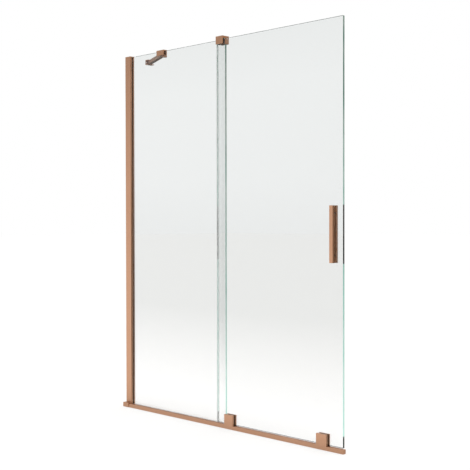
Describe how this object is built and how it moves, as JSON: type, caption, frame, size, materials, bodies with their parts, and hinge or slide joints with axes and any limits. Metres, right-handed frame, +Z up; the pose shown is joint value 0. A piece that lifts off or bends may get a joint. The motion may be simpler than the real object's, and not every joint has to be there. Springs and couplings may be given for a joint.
{
  "type": "sliding bath screen",
  "caption": "Frameless sliding bath screen: a fixed glass pane in a wall profile with a support arm, and a glass door on roller blocks over a bottom rail, in brushed copper.",
  "frame": {"origin": "on the wall face and the bath rim, in the middle of the bottom rail's depth", "axes": "+X from the wall to the free end, +Y from the room side to the bath side, +Z up"},
  "size_m": [1.2, 0.1693, 1.5063],
  "materials": {
    "copper_profile": "brushed, copper anodised",
    "copper_fitting": "brushed, copper plated",
    "bare_aluminium": "mill",
    "clear_glass": "polished, clear",
    "clear_seal": "clear, soft",
    "grey_gasket": "matt",
    "white_nylon": "smooth",
    "steel": "bright"
  },
  "bodies": {
    "root": {"wall_channel": "bare_aluminium", "glass_profile": "copper_profile", "profile_gaskets": "grey_gasket", "profile_top_cap": "copper_profile", "profile_screws": "copper_fitting", "setting_block": "grey_gasket", "sill_seal": "clear_seal", "fixed_glass": "clear_glass", "bottom_rail": "copper_profile", "rail_wall_block": "copper_fitting", "rail_end_cap": "copper_fitting", "rail_stops": "white_nylon", "rail_stop_screws": "steel", "guide_body": "copper_fitting", "guide_glide": "white_nylon", "guide_pads": "clear_seal", "guide_grub_screws": "steel", "arm_clamp": "copper_fitting", "arm_clamp_pads": "clear_seal", "arm_clamp_grub_screws": "steel", "arm_bar": "copper_fitting", "arm_pins": "steel", "arm_wall_foot": "copper_fitting"},
    "door": {"door_glass": "clear_glass", "door_seal": "clear_seal", "handle_outer": "copper_fitting", "handle_inner": "copper_fitting", "handle_studs": "steel", "handle_sleeves": "clear_seal", "handle_washers": "clear_seal", "handle_grub_screws": "steel", "roller_cover_left": "copper_fitting", "roller_back_left": "copper_fitting", "roller_clamp_screws_left": "steel", "roller_pads_left": "grey_gasket", "roller_glides_left": "white_nylon", "roller_carrier_left": "white_nylon", "roller_axle_left": "steel", "roller_cover_right": "copper_fitting", "roller_back_right": "copper_fitting", "roller_clamp_screws_right": "steel", "roller_pads_right": "grey_gasket", "roller_glides_right": "white_nylon", "roller_carrier_right": "white_nylon", "roller_axle_right": "steel"},
    "wheel_left": {"roller_bearing_left": "steel", "roller_wheel_left": "white_nylon"},
    "wheel_right": {"roller_bearing_right": "steel", "roller_wheel_right": "white_nylon"}
  },
  "joints": [
    {"name": "door_slide", "type": "slide", "parent": "root", "child": "door", "axis": [-1, 0, 0], "range_m": [0, 0.531]},
    {"name": "wheel_left_roll", "type": "hinge", "parent": "door", "child": "wheel_left", "pos_m": [0.648, 0, 0.0246], "axis": [0, -1, 0], "continuous": true},
    {"name": "wheel_right_roll", "type": "hinge", "parent": "door", "child": "wheel_right", "pos_m": [1.1062, 0, 0.0246], "axis": [0, -1, 0], "continuous": true}
  ],
  "couplings": [
    {"joint": "wheel_left_roll", "follows": "door_slide", "rad_per_m": 100},
    {"joint": "wheel_right_roll", "follows": "door_slide", "rad_per_m": 100}
  ]
}
